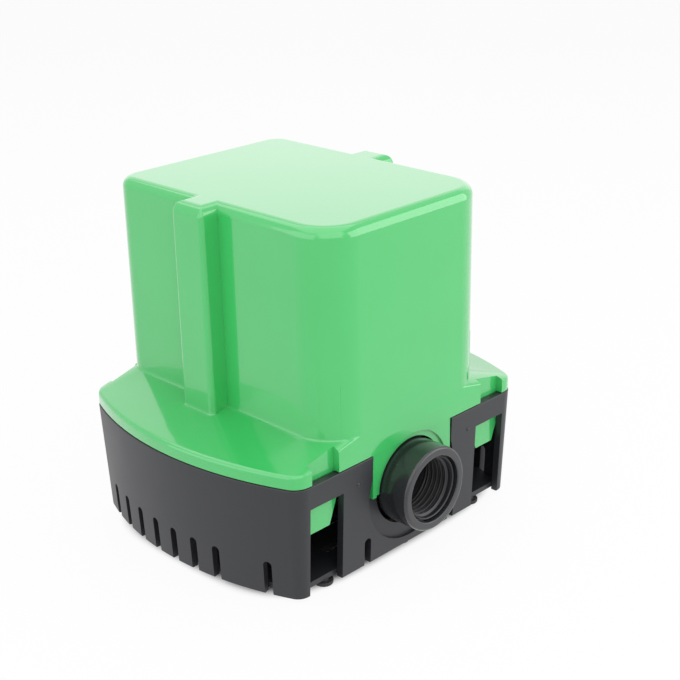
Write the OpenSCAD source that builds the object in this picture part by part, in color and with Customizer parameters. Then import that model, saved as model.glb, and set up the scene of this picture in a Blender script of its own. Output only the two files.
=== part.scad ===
// Pool cover pump: slotted strainer base, clip-on moulded hood, upright motor and centrifugal stage.
// Millimetres, +Z up, resting on its feet at Z = 0. The outlet faces -Y, and the origin is the
// middle of the ground area, so the shell's own middle lies half an outlet's reach behind it.

/* [Footprint] */
// Width across the two bowed flanks
body_w = 160; // [154:1:170]
// Depth between the flat front and the flat back
body_d = 128; // [124:1:138]
// Length of the flat front, corner to corner
front_w = 132; // [126:1:138]
// Rounding of the four upright corners
corner_r = 8; // [4:0.5:9]
// Height of the whole pump
body_h = 150; // [146:1:165]

/* [Strainer base] */
// Top edge of the grey wall
wall_top = 52; // [50:0.5:56]
// Thickness of the grey wall
wall_t = 3.2; // [2.4:0.1:3.6]
// How far the wall leans in from its top edge to its bottom edge
lean = 2; // [0.5:0.1:3]
// Height of the rubber feet
foot_h = 2; // [1.5:0.1:3]
// Radius of a rubber foot
foot_r = 4; // [3:0.1:5]
// Thickness of the floor plate
floor_t = 2.4; // [1.6:0.1:3]
// Step from the wall's bottom edge up to the floor plate
floor_lift = 1.2; // [0.6:0.1:1.6]
// Width of an intake slot
slot_w = 3.8; // [2.4:0.1:4.4]
// Height of an intake slot above the wall's bottom edge
slot_h = 15.5; // [9:0.5:17]
// Spacing of the intake slots along a flank
slot_pitch = 12.3; // [11:0.1:12.5]
// Width of an intake window
window_w = 18.6; // [15:0.2:19]
// Distance of a window's middle from the outlet's plane
window_x = 50.8; // [48:0.2:52]
// Top of the intake windows
window_top = 42; // [38:0.5:44]
// Distance of the short front slots from the outlet's plane
front_slot_x = 26.6; // [26:0.1:33]

/* [Outlet] */
// Height of the outlet's axis
outlet_z = 31.8; // [31:0.1:32.8]
// Reach of the collar in front of the flat front
outlet_reach = 12; // [9:0.5:15]
// Outer radius of the collar
collar_r = 18.5; // [17.5:0.1:19.2]
// Outer radius of the discharge pipe
pipe_r = 14; // [13.6:0.1:14]
// Wall radius of the threaded mouth, at the thread's crests
thread_r = 12.06; // [11.4:0.01:12.2]
// Depth of the threaded mouth
thread_l = 16; // [12:0.5:20]
// Radius of the waterway
bore_r = 8; // [7:0.1:8.4]
// Setback of the pipe's end inside the collar
pipe_setback = 1.6; // [0.8:0.1:2.4]
// Radius of the round dish in the front wall
dish_r = 26.4; // [25:0.1:27]
// Depth of that dish
dish_d = 2.4; // [1.6:0.1:2.6]
// Half width of the gap in the front wall above the outlet
throat_half = 24.6; // [23:0.1:25]

/* [Hood] */
// Width of the hood's tower at its foot
hood_w = 96; // [90:0.5:99]
// Depth of the hood's tower at its foot
hood_d = 127; // [123:0.5:127.5]
// Rounding of the tower's two front upright corners
hood_corner_r = 14.5; // [10:0.5:16]
// Rounding of the tower's two back upright corners
hood_back_r = 10; // [8:0.5:16]
// How far the tower narrows on each side towards its top
hood_draft = 0.4; // [0.2:0.1:2]
// Rounding of the tower's top edge
top_round = 4.5; // [3:0.1:6]
// Thickness of the hood
hood_t = 2.6; // [2:0.1:3]
// Height of the hood's upright rim
rim_h = 5.8; // [4.6:0.1:7]
// Rise of the sloping ledge from the rim to the tower
ledge_rise = 5.5; // [4:0.1:7]
// Width of the rib on each flank of the tower
rib_w = 19; // [14:0.5:24]
// How far a rib stands proud of the tower
rib_out = 8.5; // [5:0.1:10]
// Distance of a rib's middle behind the tower's middle
rib_y = 6; // [0:0.5:12]
// Width of a notch in the rim
notch_w = 15; // [12:0.5:16]
// Depth of a notch in the rim
notch_d = 3.4; // [2.8:0.1:3.4]
// Width of a snap tab at its root
tab_w = 21.4; // [19:0.2:23]
// Width of a snap tab at its tip
tab_tip_w = 11; // [8:0.5:14]
// Bottom end of the snap tabs
tab_z = 28.4; // [26:0.1:32]
// Thickness of the snap tabs and of the locating lip
tab_t = 2; // [1.6:0.1:2.4]
// Drop of the locating lip inside the grey wall
lip_h = 3; // [2:0.1:3.4]
// Radius of the cord opening in the back wall
cord_hole_r = 5.6; // [5:0.1:7]
// Height of the cord opening
cord_z = 118; // [108:1:124]

/* [Motor] */
// Outer radius of the motor housing
housing_r = 35; // [34.5:0.1:35.4]
// Wall of the motor housing
housing_t = 2; // [1.6:0.1:2.4]
// Room above the motor housing for the cord and the leads
head_room = 23.7; // [20:0.1:30]
// Radius of the shaft
shaft_r = 4; // [3.6:0.1:4.4]
// Radius of the rotor
rotor_r = 20; // [17:0.1:21]
// Height of the winding's end turns above and below the stack
coil_h = 8; // [5:0.1:10]
// Gap between the rotor and the stator
air_gap = 0.5; // [0.4:0.05:0.8]
// Outer radius of the ball bearings
bearing_r = 11; // [10.5:0.1:12]
// Width of the ball bearings
bearing_w = 7; // [6:0.1:7.5]
// Gap of the capacitor's cup to the motor housing and to the hood
cup_gap = 0.8; // [0.6:0.1:2]
// Wall of the capacitor's cup
cup_t = 1.2; // [1:0.1:2]
// Height of the capacitor's cup
cup_h = 12; // [8:0.5:20]
// Length of the run capacitor
capacitor_l = 48; // [36:1:56]

/* [Wiring] */
// Width of the terminal block
terminal_w = 32; // [24:1:40]
// Height of the terminal block
terminal_h = 12; // [8:0.5:14]
// Gap of the terminal block to the motor housing and to the hood
terminal_gap = 5.4; // [3:0.1:8]
// Spacing of the terminals
terminal_pitch = 7; // [6:0.1:8]
// Width of the cord clamp
clamp_w = 28; // [24:1:34]
// Depth of the cord clamp
clamp_d = 10; // [8:0.5:14]
// Height of the cord clamp
clamp_h = 10; // [9:0.5:14]
// Distance of the cord clamp behind the shaft
clamp_y = 18; // [14:0.5:24]
// Radius of the cord's passage
cord_r = 3.8; // [3:0.1:4]
// Width of the flanges of the cord's rubber bush
flange_w = 2; // [1:0.1:3]
// Thickness of those flanges
flange_t = 1.2; // [1:0.1:1.6]

/* [Pump stage] */
// Thickness of the chassis plate
plate_t = 4; // [3:0.1:4.5]
// Width of the chassis plate
plate_w = 85; // [82:0.5:88]
// Depth of the chassis plate
plate_d = 115; // [114.5:0.1:115.4]
// Clear height between the floor plate and the suction cover's mouth
intake_gap = 5; // [4:0.1:6]
// Radius of the suction eye
eye_r = 11; // [8:0.1:12]
// Length of the suction cover's mouth
mouth_l = 3.4; // [2:0.1:3.6]
// Thickness of the suction cover
cover_t = 3; // [2.5:0.1:3.2]
// Radius of the impeller
impeller_r = 22; // [19:0.1:23]
// Height of the impeller's vanes
vane_h = 10; // [8:0.1:11]
// Thickness of the impeller's vanes
vane_t = 2; // [1.5:0.1:2.6]
// Number of impeller vanes
vane_n = 6; // [5:1:7]
// Gap between the impeller and the scroll where the scroll is tightest
cutwater_gap = 3; // [2.2:0.1:3.6]
// Growth of the scroll's radius in one turn
scroll_growth = 8; // [6:0.1:8.4]
// Thickness of the scroll's wall
scroll_t = 3.4; // [2.6:0.1:3.6]
// Thickness of a gasket
gasket_t = 0.8; // [0.5:0.1:1.2]

/* [Hidden] */

// Running and seating clearances
seam = 0.4;        // between the grey wall and the hood
running = 0.05;    // shaft in bearing or seal
seat = 0.1;        // piece in its pocket
skin = 0.1;        // thickness of a hull's outlines
over = 1;          // overrun of a cut

// Outline of the footprint
half_d = body_d / 2;
bow = (body_w - front_w) / 2;
flank_r = (half_d * half_d + bow * bow) / (2 * bow);
flank_x = body_w / 2 - flank_r;

// Levels of the hood
rim_z = wall_top + seam;
ledge_z = rim_z + rim_h;
tower_z = ledge_z + ledge_rise;
tab_x = window_x + 1;
tab_inset = wall_t + lean * (wall_top - window_top) / (wall_top - foot_h) + seam;
tongue_inset = 0.7;
rim_gap = 0.2;     // how far the rim's face stands back from the grey wall's
rib_edge = 2.5;
lip_inset = wall_t + seam + tab_t;
tongue_z = outlet_z + seam;

// Levels of the pump stage and the motor, from the floor up
floor_z = foot_h + floor_lift;
mouth_z = floor_z + floor_t + intake_gap;
cover_z = mouth_z + mouth_l;
gasket_z = cover_z + cover_t;
scroll_z = gasket_z + gasket_t;
plate_z = outlet_z + pipe_r + 0.3;
plate_top = plate_z + plate_t;
housing_z = plate_top + gasket_t;
housing_l = body_h - head_room - housing_z;
housing_top = housing_z + housing_l;
bell_t = 3;
bell_r = 14;
lower_bell_z = housing_z + 0.4;
upper_bell_z = housing_top - housing_t - bearing_w - bell_t - 1;
lower_bearing_z = lower_bell_z + bell_t;
upper_bearing_z = upper_bell_z + bell_t;
coil_gap = 1.8;
stack_z = lower_bearing_z + bearing_w + coil_h + coil_gap;
stack_l = upper_bell_z - coil_gap - coil_h - stack_z;
stator_r = housing_r - housing_t - seat;
slot_root = rotor_r + air_gap;

// Scroll and impeller
scroll_r0 = impeller_r + cutwater_gap;
scroll_wall = 3;
scroll_h = plate_z - scroll_z;
impeller_z = scroll_z + 3;
shroud_t = 2.5;
hub_r = 7;
hub_top = impeller_z + vane_h + shroud_t;
stub_r = shaft_r - 1;
nut_h = 4;
seal_r = 10;
lip_r = 12.5;
head_top = plate_z - scroll_wall - 0.25;

// Where the screws are
ear_r = 4.5;
motor_ear = housing_r + 8;
stage_ear = scroll_r0 + scroll_growth + scroll_t + 3.6;
stage_angles = [30, 150, 210, 330];
inner_y = min(hood_d / 2 - hood_t - 0.5 - hood_draft, half_d - lip_inset);
capacitor_r = (inner_y - housing_r) / 2 - cup_gap - cup_t - seat;
capacitor_y = (inner_y + housing_r) / 2;
terminal_d = inner_y - housing_r - 2 * terminal_gap;
boss_x = hood_w / 2 - 9.6;
boss_y = hood_d / 2 - 9.6;
boss_r = 4.8;
boss_top = tower_z + 24;
web_t = 2;
screw_r = 1.9;
screw_head_r = 3.6;
screw_head_h = 2.6;

// Discharge pipe
pipe_y = half_d + outlet_reach - pipe_setback;
spigot_r = 11.5;
socket_y = 42;
spigot_l = 10;
socket_r = 14;
ring_wire = 1;

grey = [0.27, 0.28, 0.30];
dark = [0.13, 0.14, 0.14];
green = [0.36, 0.78, 0.40];
steel = [0.72, 0.73, 0.75];
copper = [0.75, 0.42, 0.22];
black = [0.08, 0.08, 0.09];
red = [0.55, 0.12, 0.10];
$fn = 64;

// Moves the shell's own middle to its place behind the origin
module place() translate([0, outlet_reach / 2, 0]) children();

// Copies to the four quarters
module quarters(x, y) for (sx = [-1, 1], sy = [-1, 1]) translate([sx * x, sy * y, 0]) children();

// Copies to the four windows' places, front and back
module at_windows(x) for (side = [-1, 1], face = [0, 180]) rotate([0, 0, face]) translate([side * x, 0, 0]) children();

// Points of an arc round [x, y]
function arc(x, y, r, a0, a1, n) = [for (i = [0:n])
    [x + r * cos(a0 + (a1 - a0) * i / n), y + r * sin(a0 + (a1 - a0) * i / n)]];

// Even steps between two values, ends left out
function steps(a, b, n) = [for (i = [1:n]) a + (b - a) * i / (n + 1)];

// Adds the mirrored left half to the right half of an outline
function both(p) = concat(p, [for (i = [len(p) - 1:-1:0]) [-p[i].x, p[i].y]]);

// Footprint outline, flat front and back with bowed flanks and round corners
function footprint(inset) =
    let (r = flank_r - inset, c = max(corner_r - inset, 1), cy = half_d - inset - c)
    let (cx = flank_x + sqrt((r - c) * (r - c) - cy * cy), t = asin(cy / (r - c)))
    let (a0 = asin((rib_y - rib_w / 2) / r), a1 = asin((rib_y + rib_w / 2) / r))
    let (turns = concat(steps(-t, a0, 6), steps(a0 - 0.2, a1 + 0.2, 12), steps(a1, t, 6)))
    both(concat(arc(cx, -cy, c, 270, 360 - t, 8),
        [for (a = turns) [flank_x + r * cos(a), r * sin(a)]],
        arc(cx, cy, c, t, 90, 8)));

// Tower outline with its two ribs, point for point as many as the footprint's
function tower(inset) =
    let (c = max(hood_corner_r - inset, 1), b = max(hood_back_r - inset, 1), e = max(rib_edge - inset, 0.4))
    let (x = hood_w / 2 - inset, y = hood_d / 2 - inset, w = rib_w / 2 - inset)
    both(concat(arc(x - c, c - y, c, 270, 360, 8),
        [for (v = steps(c - y, rib_y - w, 6)) [x, v]],
        [[x, rib_y - w]],
        arc(x + rib_out - e, rib_y - w + e, e, -90, 0, 4),
        arc(x + rib_out - e, rib_y + w - e, e, 0, 90, 4),
        [[x, rib_y + w]],
        [for (v = steps(rib_y + w, y - b, 6)) [x, v]],
        arc(x - b, y - b, b, 0, 90, 8)));

// Outline of the sloping ledge, from the rim's at 0 towards the tower's flat sides at 1
function ledge(f) = let (p = footprint(rim_gap), q = tower(0), w = hood_w / 2)
    [for (i = [0:len(p) - 1]) p[i] + f * ([max(-w, min(w, q[i].x)), q[i].y] - p[i])];

// Foot of the tower on the ledge: the ribs meet the slope lower down, because they stand proud
function tower_foot() = let (p = footprint(rim_gap), q = tower(0), w = hood_w / 2)
    [for (i = [0:len(p) - 1]) let (f = min(1, (abs(p[i].x) - abs(q[i].x)) / (abs(p[i].x) - w)))
        [q[i].x, q[i].y, ledge_z + ledge_rise * (f - 0.06) / 0.94]];

// Closed solid through level outlines that have equally many points: [[z, points], ...],
// where a point with a third number of its own keeps that height
module loft(levels) {
    n = len(levels[0][1]);
    k = len(levels);
    polyhedron(
        points = [for (l = levels, p = l[1]) [p.x, p.y, len(p) > 2 ? p[2] : l[0]]],
        faces = concat(
            [[for (i = [0:n - 1]) i]],
            [for (j = [0:k - 2], i = [0:n - 1]) let (m = (i + 1) % n) [j * n + i, (j + 1) * n + i, j * n + m]],
            [for (j = [0:k - 2], i = [0:n - 1]) let (m = (i + 1) % n)
                [(j + 1) * n + i, (j + 1) * n + m, j * n + m]],
            [[for (i = [n - 1:-1:0]) (k - 1) * n + i]]));
}

module plan(inset) polygon(footprint(inset));

// Solid of the footprint that leans in towards the ground
module leaning(inset, z0, z1) hull() {
    translate([0, 0, z0]) linear_extrude(skin) plan(inset + lean);
    translate([0, 0, z1 - skin]) linear_extrude(skin) plan(inset);
}

// Slot with a round top, cut along X from the plane X = 0
module slot_cut(w, h, depth) rotate([90, 0, 90]) linear_extrude(depth) {
    translate([-w / 2, -over - foot_h]) square([w, h - w / 2 + over + foot_h]);
    translate([0, h - w / 2]) circle(w / 2);
}

module strainer_wall() place() color(grey) {
    difference() {
        union() {
            difference() {
                leaning(0, foot_h, wall_top);
                leaning(wall_t, foot_h - over, wall_top + over);
            }
            // backing behind the round dish
            intersection() {
                translate([0, -half_d, outlet_z]) rotate([-90, 0, 0])
                    cylinder(r = dish_r + wall_t, h = lean + dish_d + wall_t);
                leaning(0.5, foot_h, wall_top);
                translate([-body_w / 2, -half_d, floor_z + floor_t + seat]) cube([body_w, half_d, outlet_z]);
            }
        }
        // intake windows, open down to the floor
        at_windows(window_x)
            translate([-window_w / 2, -half_d - over, 0]) cube([window_w, wall_t + lean + 2 * over, window_top]);
        // slots along the flanks, with one pitch left out near the front
        for (side = [0, 1], i = [-4:4]) if (i != -3) mirror([side, 0, 0]) {
            a = asin(i * slot_pitch / flank_r);
            translate([flank_x, 0, foot_h]) rotate([0, 0, a]) translate([flank_r - wall_t - lean - 2 * over, 0, 0])
                slot_cut(slot_w, slot_h, wall_t + lean + 4 * over);
        }
        // two short slots beside the outlet
        for (side = [-1, 1]) translate([side * front_slot_x, -half_d + lean + wall_t + dish_d + 2 * over, foot_h])
            rotate([0, 0, -90]) slot_cut(slot_w, slot_h - 3, wall_t + lean + dish_d + 4 * over);
        // dish, collar hole and the gap above it
        translate([0, -half_d - over, outlet_z]) rotate([-90, 0, 0])
            cylinder(r = dish_r, h = over + dish_d + lean * (wall_top - outlet_z) / (wall_top - foot_h));
        translate([0, -half_d - over, outlet_z]) rotate([-90, 0, 0])
            cylinder(r = collar_r + 1.2, h = lean + dish_d + wall_t + 3 * over);
        translate([-throat_half, -half_d - over, outlet_z])
            cube([2 * throat_half, lean + dish_d + wall_t + 3 * over, wall_top]);
    }
}

// Clip-in floor plate with rows of strainer slots, stiffened round the middle by a low ring
module strainer_floor() place() color(grey) difference() {
    union() {
        translate([0, 0, floor_z]) linear_extrude(floor_t) plan(lean + wall_t + seat);
        translate([0, 0, floor_z]) cylinder(r = eye_r + 9, h = floor_t + 1.6);
    }
    translate([0, 0, floor_z + floor_t]) cylinder(r = eye_r + 7, h = 1.6 + over);
    for (x = [-30:15:30], y = [-45:15:45])
        translate([x, y, floor_z - over]) linear_extrude(floor_t + 4 * over) {
            square([8, slot_w], center = true);
            for (s = [-1, 1]) translate([4 * s, 0]) circle(slot_w / 2);
        }
}

// One round foot with a softened lower edge and a stem up to the floor plate
module foot() rotate_extrude() {
    square([foot_r - 1, foot_h]);
    translate([0, 1]) square([foot_r, foot_h - 1]);
    translate([foot_r - 1, 1]) circle(1, $fn = 24);
    square([foot_r / 2, floor_z]);
}

module rubber_feet() place() color(dark) {
    inner = lean + wall_t + seat + foot_r / 2 + 0.3;
    quarters(window_x - 4, half_d - inner) foot();
    for (side = [-1, 1]) {
        translate([0, side * (half_d - inner), 0]) foot();
        translate([side * (body_w / 2 - inner - 4), 0, 0]) foot();
    }
}

// Snap tab, wide at its root, hanging behind a window
module tab() translate([0, tab_inset + tab_t - half_d, 0]) rotate([90, 0, 0]) linear_extrude(tab_t)
    polygon([[-tab_tip_w / 2, tab_z], [tab_tip_w / 2, tab_z], [tab_w / 2, window_top], [tab_w / 2, rim_z + 2],
        [-tab_w / 2, rim_z + 2], [-tab_w / 2, window_top]]);

module hood() place() color(green) difference() {
    union() {
        difference() {
            union() {
                // rim, sloping ledge, tower and ribs in one skin
                loft(concat(
                    [[rim_z, ledge(0)], [ledge_z - 2, ledge(0)], [ledge_z - 0.6, ledge(0.02)],
                    [ledge_z, ledge(0.06)], [tower_z, tower_foot()]],
                    [for (a = [0:22.5:90]) [body_h - top_round * (1 - sin(a)),
                        tower(hood_draft + top_round * (1 - cos(a)))]]));
                // locating lip inside the grey wall
                translate([0, 0, rim_z - lip_h]) linear_extrude(lip_h + 1) plan(wall_t + seam);
                // snap tabs
                at_windows(tab_x) tab();
                // tongue that fills the gap above the outlet
                translate([-throat_half + seam, -half_d + tongue_inset, tongue_z])
                    cube([2 * (throat_half - seam), wall_t + tab_t, ledge_z - 2.2 - tongue_z]);
            }
            // inside space
            loft([[rim_z - lip_h - over, footprint(lip_inset)], [rim_z + 3.2, footprint(lip_inset)],
                [tower_z - 3, tower(hood_t + 0.5)], [body_h - hood_t, tower(hood_t + hood_draft)]]);
            // notches in the rim above the windows
            at_windows(window_x + 0.7) translate([-notch_w / 2, -half_d - over, rim_z - over])
                cube([notch_w, notch_d + over, rim_h + ledge_rise + 3]);
        }
        // screw bosses in the tower's corners, each tied to both walls by a web
        quarters(boss_x, boss_y) translate([0, 0, plate_top]) cylinder(r = boss_r, h = boss_top - plate_top);
        for (sx = [0, 1], sy = [0, 1]) mirror([sx, 0, 0]) mirror([0, sy, 0]) translate([boss_x, boss_y, tower_z]) {
            translate([0, -web_t / 2, 0]) cube([hood_w / 2 - hood_t - boss_x, web_t, boss_top - tower_z]);
            translate([-web_t / 2, 0, 0]) cube([web_t, hood_d / 2 - hood_t - boss_y, boss_top - tower_z]);
        }
    }
    // arch over the collar, with a shallow round step in the tongue
    translate([0, -half_d - over, outlet_z]) rotate([-90, 0, 0]) cylinder(r = collar_r + 0.8, h = 12);
    translate([0, -half_d - over, outlet_z]) rotate([-90, 0, 0]) cylinder(r = collar_r + 3.6, h = over + tongue_inset + 1.2);
    // pilot holes in the bosses, and the cord opening
    quarters(boss_x, boss_y) translate([0, 0, plate_top - over]) cylinder(r = screw_r + running, h = 14);
    translate([0, hood_d / 2 - 6, cord_z]) rotate([-90, 0, 0]) cylinder(r = cord_hole_r, h = 12);
}

// Screw along +Z with its pan head below z = 0
module screw(l) {
    difference() {
        translate([0, 0, -screw_head_h]) cylinder(r = screw_head_r, h = screw_head_h);
        translate([0, 0, -screw_head_h - over]) cylinder(r = 1.9, h = over + 1.4, $fn = 6);
    }
    cylinder(r = screw_r, h = l);
}

module hood_screws() place() color(steel) quarters(boss_x, boss_y) translate([0, 0, plate_z]) screw(plate_t + 11);

module rounded_plate(w, d, r) {
    square([w - 2 * r, d], center = true);
    square([w, d - 2 * r], center = true);
    quarters(w / 2 - r, d / 2 - r) circle(r);
}

module chassis_plate() place() color(black) difference() {
    translate([0, 0, plate_z]) linear_extrude(plate_t) rounded_plate(plate_w, plate_d, 5);
    translate([0, 0, plate_z - over]) cylinder(r = lip_r + seat, h = plate_t + 2 * over);
    quarters(boss_x, boss_y) translate([0, 0, plate_z - over]) cylinder(r = screw_r + 0.3, h = plate_t + 2 * over);
    for (a = [45:90:315]) rotate([0, 0, a]) translate([motor_ear, 0, plate_z - over])
        cylinder(r = screw_r + running, h = plate_t + 2 * over);
    for (a = stage_angles) rotate([0, 0, a]) translate([stage_ear, 0, plate_z - over])
        cylinder(r = screw_r + running, h = plate_t + 2 * over);
}

module motor_housing() place() color(steel) difference() {
    union() {
        translate([0, 0, housing_z]) cylinder(r = housing_r, h = housing_l, $fn = 120);
        for (a = [45:90:315]) rotate([0, 0, a]) {
            translate([motor_ear, 0, housing_z]) cylinder(r = ear_r, h = 3);
            translate([housing_r - 3, -ear_r, housing_z]) cube([motor_ear - housing_r + 3, 2 * ear_r, 3]);
        }
    }
    translate([0, 0, housing_z - over]) cylinder(r = housing_r - housing_t, h = housing_l - housing_t + over, $fn = 120);
    for (a = [45:90:315]) rotate([0, 0, a]) translate([motor_ear, 0, housing_z - over])
        cylinder(r = screw_r + 0.3, h = 3 + 2 * over);
}

module housing_gasket() place() color(black) translate([0, 0, plate_top]) difference() {
    union() {
        cylinder(r = housing_r, h = gasket_t);
        for (a = [45:90:315]) rotate([0, 0, a]) translate([motor_ear, 0, 0]) cylinder(r = ear_r, h = gasket_t);
        for (a = [45:90:315]) rotate([0, 0, a]) translate([housing_r - 3, -ear_r, 0])
            cube([motor_ear - housing_r + 3, 2 * ear_r, gasket_t]);
    }
    translate([0, 0, -over]) cylinder(r = housing_r - 4, h = gasket_t + 2 * over);
    for (a = [45:90:315]) rotate([0, 0, a]) translate([motor_ear, 0, -over])
        cylinder(r = screw_r + 0.3, h = gasket_t + 2 * over);
}

module motor_screws() place() color(steel) for (a = [45:90:315]) rotate([0, 0, a])
    translate([motor_ear, 0, housing_z + 3]) mirror([0, 0, 1]) screw(3 + gasket_t + plate_t - 0.6);

module stator_core() place() color([0.45, 0.46, 0.48]) translate([0, 0, stack_z]) difference() {
    cylinder(r = stator_r, h = stack_l, $fn = 120);
    translate([0, 0, -over]) cylinder(r = slot_root, h = stack_l + 2 * over, $fn = 96);
    // winding slots
    for (a = [0:30:330]) rotate([0, 0, a]) translate([slot_root - 1, -1.5, -over])
        cube([8, 3, stack_l + 2 * over]);
}

// Ring of end turns above or below the stack
module end_turns(z) translate([0, 0, z]) difference() {
    cylinder(r = stator_r - 2.4, h = coil_h);
    translate([0, 0, -over]) cylinder(r = slot_root + 3, h = coil_h + 2 * over);
}

module stator_windings() place() color(copper) {
    end_turns(stack_z + stack_l);
    end_turns(stack_z - coil_h);
    for (a = [0:30:330]) rotate([0, 0, a]) translate([slot_root + 3, -1.4, stack_z - skin])
        cube([3.8, 2.8, stack_l + 2 * skin]);
}

// Disc with a boss that holds a ball bearing
module end_bell(z) translate([0, 0, z]) difference() {
    union() {
        cylinder(r = stator_r, h = bell_t, $fn = 120);
        cylinder(r = bell_r, h = bell_t + bearing_w);
    }
    translate([0, 0, -over]) cylinder(r = shaft_r + 1.5, h = bell_t + 2 * over);
    translate([0, 0, bell_t]) cylinder(r = bearing_r + seat, h = bearing_w + over);
    for (a = [0:60:300]) rotate([0, 0, a]) translate([23, 0, -over]) cylinder(r = 4, h = bell_t + 2 * over);
}

module lower_end_bell() place() color([0.62, 0.63, 0.65]) end_bell(lower_bell_z);
module upper_end_bell() place() color([0.62, 0.63, 0.65]) end_bell(upper_bell_z);

// Ball bearing with its races and shields
module bearing(z) translate([0, 0, z]) difference() {
    cylinder(r = bearing_r, h = bearing_w);
    translate([0, 0, -over]) cylinder(r = shaft_r + running, h = bearing_w + 2 * over);
    for (z = [-0.4, bearing_w - 0.4]) translate([0, 0, z]) difference() {
        cylinder(r = bearing_r - 1.6, h = 0.8);
        cylinder(r = shaft_r + 1.8, h = 0.8);
    }
}

module lower_bearing() place() color(steel) bearing(lower_bearing_z);
module upper_bearing() place() color(steel) bearing(upper_bearing_z);

module lip_seal() place() color(black) translate([0, 0, plate_z]) difference() {
    cylinder(r = lip_r, h = plate_t);
    translate([0, 0, -over]) cylinder(r = shaft_r + running, h = plate_t + 2 * over);
    translate([0, 0, 1.2]) difference() {
        cylinder(r = lip_r - 1.8, h = plate_t);
        cylinder(r = shaft_r + 1.6, h = plate_t);
    }
}

module seal_seat() place() color([0.85, 0.83, 0.78]) translate([0, 0, plate_z - scroll_wall]) difference() {
    cylinder(r = seal_r - seat, h = scroll_wall);
    translate([0, 0, -over]) cylinder(r = shaft_r + 0.4, h = scroll_wall + 2 * over);
}

// Scroll outline: its radius grows evenly from the cutwater through one turn
module scroll(extra) polygon([for (i = [0:72])
    let (a = -60 + 5 * i, r = scroll_r0 + scroll_growth * i / 72 + extra) [r * cos(a), r * sin(a)]]);

// Scroll outline with its four screw ears
module scroll_case() {
    scroll(scroll_t);
    for (a = stage_angles) rotate(a) {
        translate([stage_ear, 0]) circle(ear_r);
        translate([scroll_r0, -ear_r]) square([stage_ear - scroll_r0, 2 * ear_r]);
    }
}

module stage_holes() for (a = stage_angles) rotate(a) translate([stage_ear, 0]) circle(screw_r + 0.3);

module volute() place() color(black) difference() {
    union() {
        translate([0, 0, scroll_z]) linear_extrude(scroll_h) difference() {
            scroll_case();
            stage_holes();
        }
        translate([0, -socket_y, outlet_z]) rotate([-90, 0, 0]) cylinder(r = socket_r, h = socket_y - scroll_r0 + 6);
    }
    translate([0, 0, scroll_z - over]) linear_extrude(scroll_h - scroll_wall + over) scroll(0);
    translate([0, 0, plate_z - scroll_wall - over]) cylinder(r = seal_r, h = scroll_wall + 2 * over);
    translate([0, -socket_y - over, outlet_z]) rotate([-90, 0, 0]) cylinder(r = spigot_r + seat / 2, h = spigot_l + over);
    translate([0, -socket_y, outlet_z]) rotate([-90, 0, 0]) cylinder(r = bore_r, h = socket_y - 20);
}

module cover_gasket() place() color(black) translate([0, 0, gasket_z]) linear_extrude(gasket_t) difference() {
    scroll_case();
    scroll(0);
    stage_holes();
}

module suction_cover() place() color(black) difference() {
    union() {
        translate([0, 0, cover_z]) linear_extrude(cover_t) difference() {
            scroll_case();
            stage_holes();
        }
        translate([0, 0, mouth_z]) cylinder(r = eye_r + 3, h = mouth_l + cover_t);
    }
    translate([0, 0, mouth_z - over]) cylinder(r = eye_r, h = mouth_l + cover_t + 2 * over);
    translate([0, 0, mouth_z - over]) cylinder(r1 = eye_r + 2, r2 = eye_r - 0.5, h = over + 2);
}

module stage_screws() place() color(steel) for (a = stage_angles) rotate([0, 0, a])
    translate([stage_ear, 0, cover_z]) screw(plate_top - 0.6 - cover_z);

module discharge_pipe() place() color(dark) translate([0, 0, outlet_z]) difference() {
    union() {
        translate([0, -pipe_y, 0]) rotate([-90, 0, 0]) cylinder(r = pipe_r, h = pipe_y - socket_y, $fn = 96);
        translate([0, -socket_y - over, 0]) rotate([-90, 0, 0]) cylinder(r = spigot_r, h = spigot_l + over - 0.2);
    }
    translate([0, -pipe_y - over, 0]) rotate([-90, 0, 0]) cylinder(r = thread_r, h = thread_l + over, $fn = 96);
    translate([0, -pipe_y, 0]) rotate([-90, 0, 0]) cylinder(r = bore_r, h = pipe_y);
    // lead-in chamfer at the mouth
    translate([0, -pipe_y - 0.4, 0]) rotate([-90, 0, 0]) cylinder(r1 = thread_r + 1.2, r2 = thread_r - 0.4, h = 1.6, $fn = 96);
    // groove for the ring
    translate([0, -socket_y + spigot_l / 2 - 1.3, 0]) rotate([-90, 0, 0]) difference() {
        cylinder(r = spigot_r + over, h = 2.6);
        cylinder(r = spigot_r - 2 * ring_wire - seat / 2, h = 2.6);
    }
}

module pipe_o_ring() place() color(red) translate([0, -socket_y + spigot_l / 2, outlet_z]) rotate([-90, 0, 0])
    rotate_extrude() translate([spigot_r - ring_wire, 0]) circle(ring_wire, $fn = 32);

// Thick ring round the pipe's end, with softened rims and a counterbore at the front
module outlet_collar() place() color(dark) translate([0, -half_d - outlet_reach, outlet_z]) rotate([-90, 0, 0])
    rotate_extrude($fn = 96) difference() {
        union() {
            translate([pipe_r + seat, 1]) square([collar_r - pipe_r - seat, outlet_reach + 2]);
            translate([pipe_r + seat, 0]) square([collar_r - pipe_r - seat - 1, outlet_reach + 4]);
            translate([collar_r - 1, 1]) circle(1, $fn = 32);
            translate([collar_r - 1, outlet_reach + 3]) circle(1, $fn = 32);
        }
        translate([pipe_r, -over]) square([0.6, 3 + over]);
    }

module run_capacitor() place() color([0.80, 0.80, 0.78]) translate([0, capacitor_y, plate_top + 2]) {
    cylinder(r = capacitor_r, h = capacitor_l);
    for (s = [-1, 1]) translate([4 * s - 0.4, -3, capacitor_l]) cube([0.8, 6, 7]);
}

module capacitor_cup() place() color(black) translate([0, capacitor_y, plate_top]) difference() {
    cylinder(r = capacitor_r + seat + cup_t, h = cup_h);
    translate([0, 0, 2]) cylinder(r = capacitor_r + seat, h = cup_h);
}

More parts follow.
